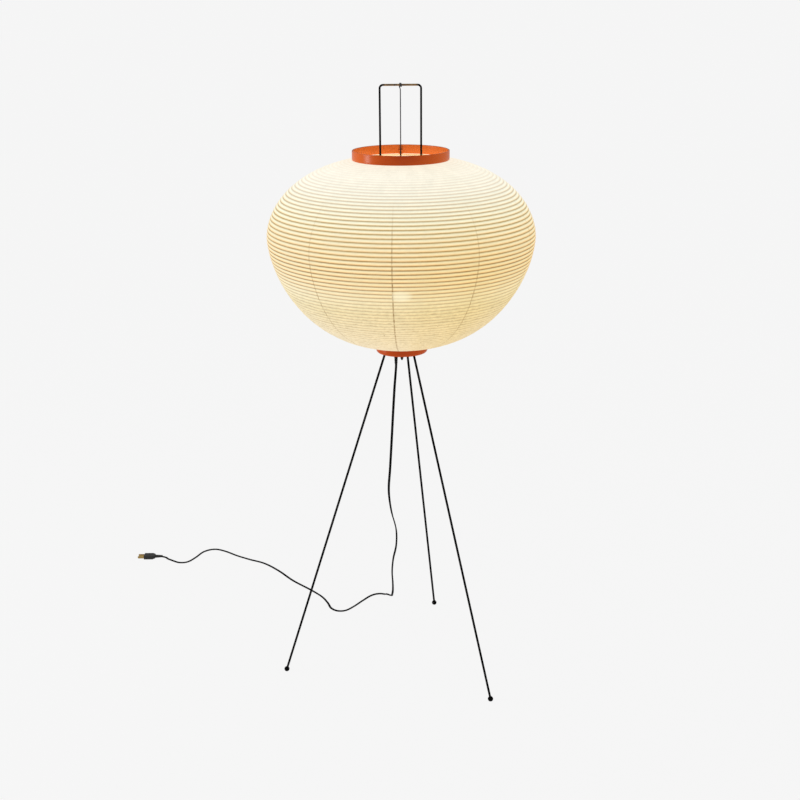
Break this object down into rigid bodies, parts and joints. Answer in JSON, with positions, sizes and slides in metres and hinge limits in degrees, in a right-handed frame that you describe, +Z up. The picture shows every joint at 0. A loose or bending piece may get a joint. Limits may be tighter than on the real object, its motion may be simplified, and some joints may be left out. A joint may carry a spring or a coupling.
{
  "type": "floor lamp",
  "caption": "Paper lantern floor lamp: a wide pleated paper shade with lacquered rings, hung on a sliding wire stretcher above a tripod of thin steel rods, with a free mains cord.",
  "frame": {"origin": "on the floor, on the lamp's vertical axis", "axes": "+Z up along the lamp's axis, +X to the right in the picture and parallel to the stretcher's bar, +Y away from the viewer"},
  "size_m": [0.946, 0.833, 1.2241],
  "materials": {
    "black_lacquer_steel": "satin black lacquer",
    "zinc_steel": "zinc plated",
    "brass": "plain",
    "holder_plastic": "moulded black phenolic",
    "holder_ceramic": "unglazed white ceramic",
    "bulb_metal": "rolled aluminium",
    "bulb_opal": "opal, lit",
    "lead_sleeve": "silicone sleeve",
    "orange_lacquer": "glossy burnt orange lacquer",
    "shade_paper": "handmade mulberry paper, pasted",
    "bamboo": "split bamboo",
    "cord_sleeve": "black flexible sleeve"
  },
  "bodies": {
    "stand": {"leg_left": "black_lacquer_steel", "leg_right": "black_lacquer_steel", "leg_back": "black_lacquer_steel", "foot_balls": "black_lacquer_steel", "leg_sockets": "black_lacquer_steel", "hub_plate": "black_lacquer_steel", "centre_stud": "zinc_steel", "stud_nuts": "zinc_steel", "holder_spacer": "brass", "holder_cap": "holder_plastic", "holder_core": "holder_ceramic", "holder_contact": "brass", "holder_shell": "holder_plastic", "bulb_cap": "bulb_metal", "bulb_glass": "bulb_opal", "cord_gland": "holder_plastic", "gland_nut": "holder_plastic", "lead_wires": "lead_sleeve", "guide_tubes": "black_lacquer_steel", "guide_collars": "black_lacquer_steel", "guide_screws": "zinc_steel", "guide_ferrules": "zinc_steel", "bottom_ring": "orange_lacquer", "paper_skin": "shade_paper", "shade_ribs": "bamboo", "mains_cord": "cord_sleeve", "plug_body": "cord_sleeve", "plug_blades": "brass"},
    "stretcher": {"bail": "black_lacquer_steel", "hanger_wire": "black_lacquer_steel", "cross_wire": "black_lacquer_steel", "ring_lugs": "zinc_steel", "top_ring": "orange_lacquer"},
    "switch": {"switch_key": "holder_plastic"}
  },
  "joints": [
    {"name": "stretcher_slide", "type": "slide", "parent": "stand", "child": "stretcher", "axis": [0, 0, -1], "range_m": [0, 0.18], "deforming": ["paper_skin", "shade_ribs"]},
    {"name": "switch_turn", "type": "hinge", "parent": "stand", "child": "switch", "pos_m": [0, -0.022, 0.7245], "axis": [0, -1, 0], "continuous": true}
  ]
}
